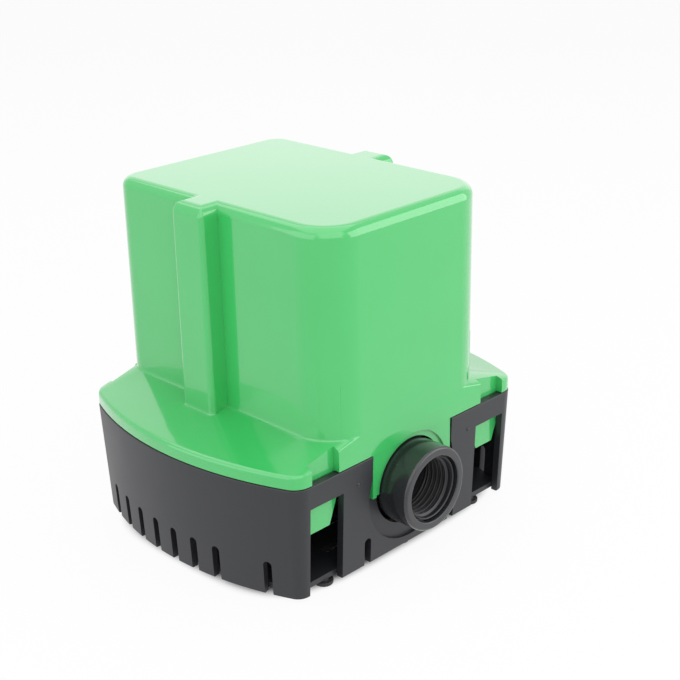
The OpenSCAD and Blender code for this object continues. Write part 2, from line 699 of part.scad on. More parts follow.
module terminal_block() place() color([0.90, 0.88, 0.82])
    translate([0, -(housing_r + inner_y) / 2, plate_top]) difference() {
        translate([-terminal_w / 2, -terminal_d / 2, 0]) cube([terminal_w, terminal_d, terminal_h]);
        for (i = [-1.5:1.5]) translate([i * terminal_pitch, 0, terminal_h / 2]) {
            cylinder(r = terminal_pitch * 0.28, h = terminal_h);
            for (s = [-1, 1]) translate([-terminal_pitch * 0.28, s * terminal_d * 0.36 - terminal_d / 6, 0])
                cube([terminal_pitch * 0.56, terminal_d / 3, terminal_h]);
        }
    }

// Rubber bush in the hood's back wall
module cord_grommet() place() color(black)
    translate([0, hood_d / 2 - hood_draft * (cord_z - tower_z) / (body_h - top_round - tower_z), cord_z])
        rotate([-90, 0, 0]) difference() {
            union() {
                translate([0, 0, -hood_t - flange_t - 0.8])
                    cylinder(r = cord_hole_r - seat, h = hood_t + 2 * flange_t + 1);
                translate([0, 0, -hood_t - flange_t - 0.8]) cylinder(r = cord_hole_r + flange_w, h = flange_t);
                translate([0, 0, 0.2]) cylinder(r = cord_hole_r + flange_w, h = flange_t);
            }
            translate([0, 0, -hood_t - flange_t - over]) cylinder(r = cord_r, h = hood_t + 3 * flange_t + 2 * over);
        }

module cord_clamp() place() color(black) translate([0, clamp_y, housing_top]) difference() {
    translate([-clamp_w / 2, -clamp_d / 2, 0]) cube([clamp_w, clamp_d, clamp_h]);
    translate([0, -clamp_d, clamp_h / 2]) rotate([-90, 0, 0]) cylinder(r = cord_r, h = 2 * clamp_d);
    for (s = [-1, 1]) translate([clamp_w * 0.34 * s, 0, clamp_h * 0.7]) cylinder(r = 3, h = clamp_h);
}

module shaft() place() color(steel) {
    translate([0, 0, impeller_z]) cylinder(r = shaft_r, h = upper_bearing_z + bearing_w - impeller_z);
    translate([0, 0, impeller_z - nut_h - 1]) cylinder(r = stub_r, h = nut_h + 1 + skin);
}

module rotor_core() place() color([0.55, 0.56, 0.58]) difference() {
    union() {
        translate([0, 0, stack_z]) cylinder(r = rotor_r, h = stack_l, $fn = 96);
        for (z = [stack_z - 3, stack_z + stack_l]) translate([0, 0, z]) cylinder(r = rotor_r - 2, h = 3);
    }
    translate([0, 0, stack_z - 4]) cylinder(r = shaft_r, h = stack_l + 8);
}

// One backward-curved vane: a thick arc cut out between two circles
module vane() intersection() {
    translate([0, 13]) difference() {
        circle(15 + vane_t / 2, $fn = 96);
        circle(15 - vane_t / 2, $fn = 96);
    }
    translate([0, -5]) square([impeller_r, 18]);
}

module impeller() place() color([0.20, 0.34, 0.58]) translate([0, 0, impeller_z]) difference() {
    union() {
        translate([0, 0, vane_h]) cylinder(r = impeller_r, h = shroud_t, $fn = 96);
        cylinder(r = hub_r, h = vane_h + shroud_t);
        intersection() {
            linear_extrude(vane_h + 0.5) for (i = [0:vane_n - 1]) rotate(360 * i / vane_n) vane();
            cylinder(r = impeller_r, h = vane_h + 0.5, $fn = 96);
        }
    }
    translate([0, 0, -over]) cylinder(r = shaft_r, h = vane_h + shroud_t + 2 * over);
}

module impeller_nut() place() color(steel) translate([0, 0, impeller_z - nut_h]) difference() {
    cylinder(r = hub_r - 0.5, h = nut_h, $fn = 6);
    translate([0, 0, -over]) cylinder(r = stub_r, h = nut_h + 2 * over);
}

module seal_head() place() color([0.60, 0.58, 0.54]) difference() {
    union() {
        translate([0, 0, hub_top]) cylinder(r = hub_r, h = head_top - hub_top);
        translate([0, 0, head_top - 2.4]) cylinder(r = seal_r - 1.5, h = 2.4);
    }
    translate([0, 0, hub_top - over]) cylinder(r = shaft_r, h = head_top - hub_top + 2 * over);
}

strainer_wall();
strainer_floor();
rubber_feet();
hood();
hood_screws();
chassis_plate();
motor_housing();
housing_gasket();
motor_screws();
stator_core();
stator_windings();
upper_end_bell();
lower_end_bell();
upper_bearing();
lower_bearing();
lip_seal();
seal_seat();
volute();
cover_gasket();
suction_cover();
stage_screws();
discharge_pipe();
pipe_o_ring();
outlet_collar();
run_capacitor();
capacitor_cup();
terminal_block();
cord_grommet();
cord_clamp();
shaft();
rotor_core();
impeller();
impeller_nut();
seal_head();
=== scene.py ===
# Pool cover pump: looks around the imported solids. Metres, Z up, outlet towards -Y.
import bpy
import bmesh
from math import asin, cos, pi, radians, sin, sqrt, tau
from mathutils import Matrix, Vector


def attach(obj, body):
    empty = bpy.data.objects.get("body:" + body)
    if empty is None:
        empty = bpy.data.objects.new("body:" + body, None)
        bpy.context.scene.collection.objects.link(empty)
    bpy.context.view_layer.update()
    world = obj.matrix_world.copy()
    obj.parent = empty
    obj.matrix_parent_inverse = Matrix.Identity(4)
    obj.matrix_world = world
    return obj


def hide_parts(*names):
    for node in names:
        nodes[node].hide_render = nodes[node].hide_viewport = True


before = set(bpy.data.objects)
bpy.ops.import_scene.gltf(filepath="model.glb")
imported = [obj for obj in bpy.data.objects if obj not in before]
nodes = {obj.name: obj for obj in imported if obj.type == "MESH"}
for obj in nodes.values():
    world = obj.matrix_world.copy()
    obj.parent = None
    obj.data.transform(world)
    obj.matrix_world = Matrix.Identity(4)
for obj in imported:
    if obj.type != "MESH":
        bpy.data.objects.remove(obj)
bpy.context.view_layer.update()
mm = 0.001
scene = bpy.context.scene
scene.view_settings.view_transform = "Standard"
shellY = 6.0  # the shell's middle lies this far behind the origin


# camera and light, in millimetres, degrees and watts
camera = {"target": (0, -24, 60), "azimuth": -46.1, "elevation": 24.3, "roll": -0.8, "distance": 576.4,
          "lens": 71.49, "shift": (-0.0207, 0.0834)}


def addCamera(s):
    az, el = radians(s["azimuth"]), radians(s["elevation"])
    back = Vector((sin(az) * cos(el), -cos(az) * cos(el), sin(el)))
    cam = bpy.data.objects.new("photoCamera", bpy.data.cameras.new("photoCamera"))
    scene.collection.objects.link(cam)
    cam.data.sensor_width = 36
    cam.data.lens = s["lens"]
    cam.data.shift_x, cam.data.shift_y = s["shift"]
    cam.data.clip_start, cam.data.clip_end = 0.01, 20
    turn = back.to_track_quat("Z", "Y").to_matrix() @ Matrix.Rotation(radians(s["roll"]), 3, "Z")
    cam.matrix_world = Matrix.Translation((Vector(s["target"]) + back * s["distance"]) * mm) @ turn.to_4x4()
    scene.camera = cam


lamps = {
    "top": {"at": (-60, 60, 820), "size": (1100, 1100), "power": 3.6, "colour": (1, 1, 1)},
    "key": {"at": (-420, -620, 520), "size": (900, 760), "power": 2.4, "colour": (1, 0.99, 0.97)},
    "front": {"at": (420, -560, 240), "size": (700, 700), "power": 2.8, "colour": (1, 1, 1)},
    "left": {"at": (-760, 160, 260), "size": (900, 700), "power": 2.0, "colour": (0.98, 0.99, 1)},
    "back": {"at": (640, 620, 520), "size": (1500, 700), "power": 0.95, "colour": (1, 1, 1)},
}
lampAim = Vector((0, 0, 0.07))  # every lamp faces this point


def addLamps(table):
    for name, s in table.items():
        data = bpy.data.lights.new(name + "Lamp", "AREA")
        data.shape = "RECTANGLE"
        data.size, data.size_y = s["size"][0] * mm, s["size"][1] * mm
        data.energy = s["power"]
        data.color = s["colour"]
        lamp = bpy.data.objects.new(name + "Lamp", data)
        lamp.visible_camera = False
        scene.collection.objects.link(lamp)
        at = Vector(s["at"]) * mm
        turn = (at - lampAim).to_track_quat("Z", "Y").to_matrix()
        lamp.matrix_world = Matrix.Translation(at) @ turn.to_4x4()


addCamera(camera)
addLamps(lamps)
print("camera and lamps are up")


# shader maths
class Value:
    # a socket that takes part in Python expressions
    def __init__(self, finish, socket):
        self.finish, self.socket = finish, socket

    def maths(self, operation, *terms):
        n = self.finish.node("ShaderNodeMath", {"operation": operation}, dict(enumerate(terms)))
        return Value(self.finish, n.outputs[0])

    def __add__(self, other): return self.maths("ADD", self, other)
    def __radd__(self, other): return self.maths("ADD", other, self)
    def __sub__(self, other): return self.maths("SUBTRACT", self, other)
    def __rsub__(self, other): return self.maths("SUBTRACT", other, self)
    def __mul__(self, other): return self.maths("MULTIPLY", self, other)
    def __rmul__(self, other): return self.maths("MULTIPLY", other, self)
    def __truediv__(self, other): return self.maths("DIVIDE", self, other)
    def __rtruediv__(self, other): return self.maths("DIVIDE", other, self)
    def __pow__(self, other): return self.maths("POWER", self, other)

    def above(self, edge, width):
        # 0 below the edge, 1 from edge + width on, smooth between
        n = self.finish.node("ShaderNodeMapRange", {"interpolation_type": "SMOOTHSTEP"},
                             {"Value": self, "From Min": edge, "From Max": edge + width})
        return Value(self.finish, n.outputs["Result"])


class Finish:
    # a material and its nodes
    def __init__(self, name):
        self.material = bpy.data.materials.new(name)
        self.material.use_nodes = True
        self.tree = self.material.node_tree
        self.shader = self.tree.nodes["Principled BSDF"]
        self.place = self.node("ShaderNodeTexCoord", {}, {}).outputs["Object"]

    def node(self, kind, settings, values):
        n = self.tree.nodes.new(kind)
        for key, value in settings.items():
            setattr(n, key, value)
        for key, value in values.items():
            self.join(n.inputs[key], value)
        return n

    def join(self, socket, value):
        if isinstance(value, Value):
            self.tree.links.new(value.socket, socket)
        elif isinstance(value, bpy.types.NodeSocket):
            self.tree.links.new(value, socket)
        else:
            socket.default_value = value

    def noise(self, scale, detail=2.0, stretch=None, roughness=0.5):
        place = self.place
        if stretch:
            place = self.node("ShaderNodeMapping", {}, {"Vector": place, "Scale": stretch}).outputs[0]
        n = self.node("ShaderNodeTexNoise", {}, {"Vector": place, "Scale": scale, "Detail": detail,
                                                 "Roughness": roughness})
        return Value(self, n.outputs["Fac"])

    def blend(self, share, a, b):
        n = self.node("ShaderNodeMix", {"data_type": "RGBA"}, {"Factor": share, 6: a, 7: b})
        return n.outputs[2]

    def parts(self, vector):
        n = self.node("ShaderNodeSeparateXYZ", {}, {0: vector})
        return [Value(self, o) for o in n.outputs]

    def facing(self):
        return self.parts(self.node("ShaderNodeNewGeometry", {}, {}).outputs["Normal"])

    def bump(self, height, distance, strength=1.0, under=None):
        values = {"Height": height, "Distance": distance, "Strength": strength}
        if under is not None:
            values["Normal"] = under
        return self.node("ShaderNodeBump", {}, values).outputs[0]

    def set(self, **values):
        names = {"colour": "Base Color", "roughness": "Roughness", "metallic": "Metallic", "normal": "Normal",
                 "coat": "Coat Weight", "coatRoughness": "Coat Roughness"}
        for key, value in values.items():
            self.join(self.shader.inputs[names[key]], value)
        return self.material


def srgb(r, g, b):
    # 0 to 255 as a screen shows it, made linear
    line = lambda c: c / 255 / 12.92 if c <= 10.3 else ((c / 255 + 0.055) / 1.055) ** 2.4
    return (line(r), line(g), line(b), 1)


# moulded plastics: colour, cloudy mix, roughness and its drift, texture of the mould
plastics = {
    "greenPlastic": {"colour": srgb(56, 182, 93), "cloud": srgb(61, 187, 98), "rough": (0.14, 0.05),
                     "grain": 0.000002, "grainScale": 900, "coat": 1.0, "dust": 0.02},
    "greyPlastic": {"colour": srgb(36, 37, 41), "cloud": srgb(41, 42, 46), "rough": (0.4, 0.12),
                    "grain": 0.000025, "grainScale": 1500, "coat": 0.0, "dust": 0.05},
    "collarPlastic": {"colour": srgb(36, 37, 40), "cloud": srgb(41, 42, 45), "rough": (0.26, 0.08),
                      "grain": 0.000008, "grainScale": 1300, "coat": 0.35, "dust": 0.03},
    "pipePlastic": {"colour": srgb(40, 40, 43), "cloud": srgb(34, 34, 37), "rough": (0.33, 0.10),
                    "grain": 0.000012, "grainScale": 1300, "coat": 0.0, "dust": 0.03},
    "blackPlastic": {"colour": srgb(38, 38, 41), "cloud": srgb(46, 46, 49), "rough": (0.42, 0.14),
                     "grain": 0.00003, "grainScale": 1200, "coat": 0.0, "dust": 0.04},
    "capacitorPlastic": {"colour": srgb(214, 214, 206), "cloud": srgb(204, 204, 196), "rough": (0.3, 0.1),
                         "grain": 0.000006, "grainScale": 700, "coat": 0.1, "dust": 0.03},
    "terminalPlastic": {"colour": srgb(222, 216, 196), "cloud": srgb(212, 206, 186), "rough": (0.35, 0.1),
                        "grain": 0.000008, "grainScale": 900, "coat": 0.0, "dust": 0.03},
    "impellerPlastic": {"colour": srgb(44, 82, 148), "cloud": srgb(56, 94, 156), "rough": (0.3, 0.12),
                        "grain": 0.00001, "grainScale": 1000, "coat": 0.0, "dust": 0.02},
    "ceramic": {"colour": srgb(226, 222, 210), "cloud": srgb(216, 212, 200), "rough": (0.14, 0.06),
                "grain": 0.000003, "grainScale": 1500, "coat": 0.2, "dust": 0.0},
    "carbon": {"colour": srgb(52, 52, 54), "cloud": srgb(64, 64, 66), "rough": (0.36, 0.12),
               "grain": 0.000008, "grainScale": 2200, "coat": 0.0, "dust": 0.0},
    "rubber": {"colour": srgb(34, 34, 36), "cloud": srgb(42, 42, 44), "rough": (0.62, 0.16),
               "grain": 0.00004, "grainScale": 1100, "coat": 0.0, "dust": 0.08},
    "redRubber": {"colour": srgb(140, 42, 36), "cloud": srgb(120, 36, 32), "rough": (0.5, 0.15),
                  "grain": 0.00002, "grainScale": 1100, "coat": 0.0, "dust": 0.03},
}
# what all of them share: slow clouds, dust specks on faces that look up, a shallow wave of the mould
mould = {"cloudScale": 38, "speckScale": 420, "speckFrom": 0.66, "speckFade": 0.08, "dust": srgb(196, 194, 186),
         "dustRough": 0.8, "waveScale": 55, "waveHigh": 0.00006, "waveStrength": 0.5, "coatRough": 0.035}


def mouldedPlastic(name, s):
    f = Finish(name)
    cloud = f.noise(mould["cloudScale"], 3)
    fine = f.noise(s["grainScale"], 2, roughness=0.6)
    speck = f.noise(mould["speckScale"], 3, roughness=0.7).above(mould["speckFrom"], mould["speckFade"])
    up = f.facing()[2].above(0.5, 0.5)
    colour = f.blend(cloud, s["colour"], s["cloud"])
    colour = f.blend(speck * up * s["dust"], colour, mould["dust"])
    rough = s["rough"][0] + (cloud - 0.5) * s["rough"][1] + speck * (s["dust"] * mould["dustRough"])
    wave = f.bump(f.noise(mould["waveScale"], 1), mould["waveHigh"], mould["waveStrength"])
    return f.set(colour=colour, roughness=rough, coat=s["coat"], coatRoughness=mould["coatRough"],
                 normal=f.bump(fine, s["grain"], 1.0, wave))


# metals: colour, stain, roughness and its spread, direction of the brushing
metals = {
    "steel": {"colour": srgb(196, 197, 200), "dark": srgb(150, 152, 156), "rough": (0.24, 0.16),
              "stretch": (60, 60, 900)},
    "housingSteel": {"colour": srgb(190, 191, 193), "dark": srgb(160, 162, 164), "rough": (0.3, 0.14),
                     "stretch": (40, 40, 1400)},
    "castAluminium": {"colour": srgb(186, 188, 190), "dark": srgb(150, 152, 155), "rough": (0.42, 0.2),
                      "stretch": (300, 300, 300)},
    "brass": {"colour": srgb(212, 172, 92), "dark": srgb(168, 128, 60), "rough": (0.26, 0.14),
              "stretch": (60, 60, 900)},
}


def brushedMetal(name, s):
    f = Finish(name)
    brush = f.noise(1, 3, stretch=s["stretch"], roughness=0.6)
    stain = f.noise(60, 4).above(0.5, 0.3)
    colour = f.blend(stain * 0.35 + brush * 0.2, s["colour"], s["dark"])
    return f.set(colour=colour, metallic=1.0, roughness=s["rough"][0] + brush * s["rough"][1] + stain * 0.08,
                 normal=f.bump(brush, 0.00001))


def coreSheets(name, s):
    # stacked electrical steel: thin level lines between the sheets
    f = Finish(name)
    z = f.parts(f.place)[2]
    line = (z * (tau / s["sheet"])).maths("SINE", z * (tau / s["sheet"]))
    edge = line.above(0.55, 0.4)
    patch = f.noise(90, 4)
    colour = f.blend(edge * 0.7 + patch * 0.2, s["colour"], s["gap"])
    return f.set(colour=colour, metallic=0.85, roughness=0.38 + patch * 0.2 + edge * 0.15,
                 normal=f.bump(1 - edge, 0.00008))


def woundCopper(name, s):
    # enamelled wire laid round the axis, strand beside strand
    f = Finish(name)
    x, y, z = f.parts(f.place)
    r = (x * x + (y - shellY * mm) * (y - shellY * mm)) ** 0.5
    strand = (r + z * 0.6) * (tau / s["wire"])
    ridge = strand.maths("SINE", strand)
    patch = f.noise(150, 4)
    # painted shade: the grooves between the strands take the darker shade colour, the crests the copper colour
    colour = f.blend(ridge.above(-0.6, 1.2), s["shade"], s["colour"])
    colour = f.blend(patch.above(0.55, 0.25) * 0.5, colour, s["varnish"])
    return f.set(colour=colour, metallic=0.75, roughness=0.3 + patch * 0.15, coat=0.4, coatRoughness=0.15,
                 normal=f.bump(ridge, 0.00025))


paint = {name: mouldedPlastic(name, s) for name, s in plastics.items()}
paint.update({name: brushedMetal(name, s) for name, s in metals.items()})
paint["coreSteel"] = coreSheets("coreSteel", {"sheet": 0.0009, "colour": srgb(128, 130, 134),
                                              "gap": srgb(58, 58, 62)})
paint["copper"] = woundCopper("copper", {"wire": 0.0007, "colour": srgb(198, 112, 62), "shade": srgb(110, 50, 26),
                                         "varnish": srgb(150, 74, 38)})

cadFinishes = {
    "hood_screws": "steel", "chassis_plate": "blackPlastic", "motor_housing": "housingSteel",
    "housing_gasket": "rubber", "motor_screws": "steel", "stator_core": "coreSteel",
    "stator_windings": "copper", "upper_end_bell": "castAluminium", "lower_end_bell": "castAluminium",
    "upper_bearing": "steel", "lower_bearing": "steel", "lip_seal": "rubber", "seal_seat": "ceramic",
    "volute": "blackPlastic", "cover_gasket": "rubber", "suction_cover": "blackPlastic", "stage_screws": "steel",
    "discharge_pipe": "pipePlastic", "pipe_o_ring": "redRubber", "outlet_collar": "collarPlastic",
    "run_capacitor": "capacitorPlastic", "capacitor_cup": "blackPlastic", "terminal_block": "terminalPlastic",
    "cord_grommet": "rubber", "cord_clamp": "blackPlastic", "shaft": "steel", "rotor_core": "coreSteel",
    "impeller": "impellerPlastic", "impeller_nut": "brass", "seal_head": "carbon",
    "strainer_wall": "greyPlastic", "strainer_floor": "greyPlastic", "rubber_feet": "rubber",
    "hood": "greenPlastic",
}
for name, finish in cadFinishes.items():
    mesh = nodes[name].data
    mesh.materials.clear()
    mesh.materials.append(paint[finish])
print("finishes are on the solids")


# floor and backdrop: white to the camera and in reflections, dimmer as a light
studio = {"floor": (0.8, 0.8, 0.8, 1), "floorRough": 0.6, "floorHalf": 4, "glow": 0.93,
          "dim": (0.86, 0.88, 0.9, 1), "dimStrength": 0.55, "white": (1, 1, 1, 1)}
contact = {"halfX": 74, "halfY": 60, "from": 0.8, "fade": 0.5}
whiteRays = ("Is Glossy Ray", "Is Transmission Ray")


def underObject(f, s):
    # 1 on the floor below the object, 0 outside, for a dark contact instead of a white one
    x, y, z = f.parts(f.place)
    across, along = x / (s["halfX"] * mm), (y - shellY * mm) / (s["halfY"] * mm)
    far = across.maths("ABSOLUTE", across) ** 4 + along.maths("ABSOLUTE", along) ** 4
    return 1 - far.above(s["from"], s["fade"])


def addFloor(s):
    half = s["floorHalf"]
    mesh = bpy.data.meshes.new("floor")
    mesh.from_pydata([(-half, -half, 0), (half, -half, 0), (half, half, 0), (-half, half, 0)], [], [(0, 1, 2, 3)])
    floor = bpy.data.objects.new("floor", mesh)
    scene.collection.objects.link(floor)
    f = Finish("floorWhite")
    ray = f.node("ShaderNodeLightPath", {}, {})
    seen = Value(f, ray.outputs["Is Camera Ray"])
    for name in whiteRays:
        seen = seen.maths("MAXIMUM", seen, Value(f, ray.outputs[name]))
    f.set(colour=s["floor"], roughness=s["floorRough"])
    glow = f.node("ShaderNodeEmission", {}, {"Color": s["white"], "Strength": 1.0})
    mix = f.node("ShaderNodeMixShader", {}, {0: seen * s["glow"] * (1 - underObject(f, contact)),
                                             1: f.shader.outputs[0], 2: glow.outputs[0]})
    f.tree.links.new(mix.outputs[0], f.tree.nodes["Material Output"].inputs["Surface"])
    mesh.materials.append(f.material)


def addWorld(s):
    world = bpy.data.worlds.new("studio")
    scene.world = world
    world.use_nodes = True
    tree = world.node_tree
    ray = tree.nodes.new("ShaderNodeLightPath")
    seen = ray.outputs["Is Camera Ray"]
    for name in whiteRays:
        either = tree.nodes.new("ShaderNodeMath")
        either.operation = "MAXIMUM"
        tree.links.new(seen, either.inputs[0])
        tree.links.new(ray.outputs[name], either.inputs[1])
        seen = either.outputs[0]
    mix = tree.nodes.new("ShaderNodeMixShader")
    dim, white = tree.nodes["Background"], tree.nodes.new("ShaderNodeBackground")
    dim.inputs["Color"].default_value = s["dim"]
    dim.inputs["Strength"].default_value = s["dimStrength"]
    white.inputs["Color"].default_value = s["white"]
    tree.links.new(seen, mix.inputs[0])
    tree.links.new(dim.outputs[0], mix.inputs[1])
    tree.links.new(white.outputs[0], mix.inputs[2])
    tree.links.new(mix.outputs[0], tree.nodes["World Output"].inputs["Surface"])


addFloor(studio)
addWorld(studio)
print("floor and backdrop are in")


# mesh helpers, in millimetres
over = 1  # how far a cutter stands past what it cuts
sharp = 40  # edges from this angle on are softened, in degrees
pole = 0.01  # radius that closes the end of a lathe's profile


def meshObject(name, verts, faces, finish, smooth=True):
    mesh = bpy.data.meshes.new(name)
    mesh.from_pydata([Vector(v) * mm for v in verts], [], faces)
    mesh.validate()
    if smooth:
        mesh.polygons.foreach_set("use_smooth", [True] * len(mesh.polygons))
    obj = bpy.data.objects.new(name, mesh)
    scene.collection.objects.link(obj)
    mesh.materials.append(paint[finish])
    return obj


def loft(levels):
    # closed solid through level outlines with equally many points: [(z, points), ...];
    # a point with a third number of its own keeps that height
    n, k = len(levels[0][1]), len(levels)
    verts = [(p[0], p[1] + shellY, p[2] if len(p) > 2 else z) for z, outline in levels for p in outline]
    faces = [list(range(n))[::-1], [(k - 1) * n + i for i in range(n)]]
    for j in range(k - 1):
        for i in range(n):
            m = (i + 1) % n
            faces.append([j * n + i, j * n + m, (j + 1) * n + m, (j + 1) * n + i])
    return verts, faces


def prism(points, z0, z1):
    return loft([(z0, points), (z1, points)])


def block(x0, x1, y0, y1, z0, z1):
    return prism([(x0, y0), (x1, y0), (x1, y1), (x0, y1)], z0, z1)


def slab(outline, y0, y1):
    # (x, z) outline made thick along Y
    n = len(outline)
    verts = [(x, y + shellY, z) for y in (y0, y1) for x, z in outline]
    faces = [list(range(n)), [n + i for i in range(n)][::-1]]
    return verts, faces + [[i, n + i, n + (i + 1) % n, (i + 1) % n] for i in range(n)]


def post(x, y, r, z0, z1, n=48):
    return prism([(x + r * cos(tau * i / n), y + r * sin(tau * i / n)) for i in range(n)], z0, z1)


def drum(x, z, r, y0, y1, n=96):
    # cylinder along Y
    return slab([(x + r * cos(tau * i / n), z + r * sin(tau * i / n)) for i in range(n)], y0, y1)


def lathe(profile, place, n=128):
    # turns a closed loop of (along, radius) pairs round an axis; place maps (along, a, b) to millimetres
    verts, faces = [], []
    for h, r in profile:
        verts += [place(h, r * cos(tau * i / n), r * sin(tau * i / n)) for i in range(n)]
    k = len(profile)
    for j in range(k):
        for i in range(n):
            m, q = (i + 1) % n, (j + 1) % k
            faces.append([j * n + i, q * n + i, q * n + m, j * n + m])
    return verts, faces


def joined(shapes):
    verts, faces = [], []
    for v, f in shapes:
        faces += [[i + len(verts) for i in face] for face in f]
        verts += v
    return verts, faces


def outward(obj):
    bm = bmesh.new()
    bm.from_mesh(obj.data)
    bmesh.ops.remove_doubles(bm, verts=bm.verts, dist=1e-7)
    bmesh.ops.recalc_face_normals(bm, faces=bm.faces)
    bm.to_mesh(obj.data)
    bm.free()
    return obj


def applied(obj):
    done = bpy.data.meshes.new_from_object(obj.evaluated_get(bpy.context.evaluated_depsgraph_get()))
    obj.modifiers.clear()
    old = obj.data
    obj.data = done
    bpy.data.meshes.remove(old)
    return obj


def carve(obj, shapes, operation="DIFFERENCE"):
    verts, faces = joined(shapes)
    cutter = outward(meshObject("cutter", verts, faces, "rubber", False))
    m = obj.modifiers.new("carve", "BOOLEAN")
    m.operation, m.solver, m.object = operation, "EXACT", cutter
    m.use_self = True
    applied(obj)
    bpy.data.objects.remove(cutter)
    return obj


def soften(obj, width, angle, segments=3):
    m = obj.modifiers.new("soften", "BEVEL")
    m.width, m.segments, m.limit_method = width * mm, segments, "ANGLE"
    m.angle_limit = radians(angle)
    applied(obj)
    obj.data.polygons.foreach_set("use_smooth", [True] * len(obj.data.polygons))
    m = obj.modifiers.new("shade", "WEIGHTED_NORMAL")
    m.keep_sharp, m.weight = True, 60
    return applied(obj)


def dress(piece, body, node):
    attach(piece, body)
    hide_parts(node)
    print(piece.name, len(piece.data.polygons), "faces")


# outlines of the shell
shell = {"width": 160, "depth": 128, "front": 132, "corner": 8, "hoodWidth": 96, "hoodDepth": 127,
         "hoodCorner": 18, "hoodBack": 10, "draft": 0.4, "ribWidth": 19, "ribOut": 8.5, "ribY": 6, "ribEdge": 2.5}
halfDepth = shell["depth"] / 2
bow = (shell["width"] - shell["front"]) / 2
flankR = (halfDepth ** 2 + bow ** 2) / (2 * bow)
flankX = shell["width"] / 2 - flankR


def arc(x, y, r, a0, a1, n):
    return [(x + r * cos(radians(a0 + (a1 - a0) * i / n)), y + r * sin(radians(a0 + (a1 - a0) * i / n)))
            for i in range(n + 1)]


def steps(a, b, n):
    return [a + (b - a) * (i + 1) / (n + 1) for i in range(n)]


def both(p):
    return p + [(-x, y) for x, y in reversed(p)]


def footprint(inset, fine=3):
    # bowed flanks between straight ends; the point counts match the tower's
    r, c = flankR - inset, max(shell["corner"] - inset, 1)
    cy = halfDepth - inset - c
    cx = flankX + sqrt((r - c) ** 2 - cy ** 2)
    t = asin(cy / (r - c)) * 180 / pi
    a0 = asin((shell["ribY"] - shell["ribWidth"] / 2) / r) * 180 / pi
    a1 = asin((shell["ribY"] + shell["ribWidth"] / 2) / r) * 180 / pi
    turns = steps(-t, a0, 6 * fine) + steps(a0 - 0.2, a1 + 0.2, 8 * fine + 4) + steps(a1, t, 6 * fine)
    return both(arc(cx, -cy, c, 270, 360 - t, 8 * fine)
                + [(flankX + r * cos(radians(a)), r * sin(radians(a))) for a in turns]
                + arc(cx, cy, c, t, 90, 8 * fine))


def tower(inset, fine=3):
    # rounded rectangle with a rib on each flank
    c, b = max(shell["hoodCorner"] - inset, 1), max(shell["hoodBack"] - inset, 1)
    x, y = shell["hoodWidth"] / 2 - inset, shell["hoodDepth"] / 2 - inset
    w, out, ry = shell["ribWidth"] / 2 - inset, shell["ribOut"], shell["ribY"]
    e = max(shell["ribEdge"] - inset, 0.4)
    return both(arc(x - c, c - y, c, 270, 360, 8 * fine)
                + [(x, v) for v in steps(c - y, ry - w, 6 * fine)] + [(x, ry - w)]
                + arc(x + out - e, ry - w + e, e, -90, 0, 4 * fine)
                + arc(x + out - e, ry + w - e, e, 0, 90, 4 * fine)
                + [(x, ry + w)] + [(x, v) for v in steps(ry + w, y - b, 6 * fine)]
                + arc(x - b, y - b, b, 0, 90, 8 * fine))


def between(p, q, f):
    return [tuple(a + f * (b - a) for a, b in zip(u, v)) for u, v in zip(p, q)]


def fourWays(shapes):
    # copies shapes of the quarter +X, +Y to all four quarters
    out = []
    for sx in (1, -1):
        for sy in (1, -1):
            for verts, faces in shapes:
                out.append(([(x * sx, (y - shellY) * sy + shellY, z) for x, y, z in verts], faces))
    return out


# hood; rimEdge is (share of the way to the tower, depth below the ledge), cove is (share, lift)
hood = {"rimZ": 52.4, "rise": 5.8, "ledgeRise": 5.5, "top": 150, "round": 4.5, "roundSteps": 12, "thick": 2.6,
        "gap": 0.2, "notchX": 51.5, "notchWidth": 15, "notchDepth": 3.4, "lipDrop": 3, "lipOut": 3.6, "lipIn": 5.6,
        "innerRise": 3.2, "innerDrop": 3, "innerSlack": 0.5, "tabX": 51.8, "tabRoot": 21.4, "tabTip": 11,
        "tabZ": 28.4, "tabOut": 4.0, "tabThick": 2, "tabSeat": 2, "windowTop": 42, "tongueHalf": 24.2,
        "tongueOut": 0.7, "tongueThick": 5.2, "tongueLift": 0.4, "tongueSink": 2.2, "outletZ": 31.8, "archR": 19.3,
        "archDeep": 11, "stepR": 22.1, "stepDeep": 1.9, "cordZ": 118, "cordR": 5.6, "cordIn": 7, "cordOut": 5,
        "bossX": 38.4, "bossY": 53.9, "bossR": 4.8, "bossZ": 50.1, "bossTop": 87.7, "webThick": 2, "webDrop": 0.4,
        "pilotR": 1.95, "pilotDeep": 13, "soft": 0.5, "rimIn": 0.004, "rimSoft": 0.35,
        "rimEdge": ((0, 2.0), (0.002, 1.45), (0.008, 0.95), (0.018, 0.55), (0.034, 0.22), (0.06, 0)),
        "ledgeSteps": (0.25, 0.5, 0.75, 0.9, 0.965), "cove": ((0.99, 0.12), (1, 0.5), (1, 1.2))}


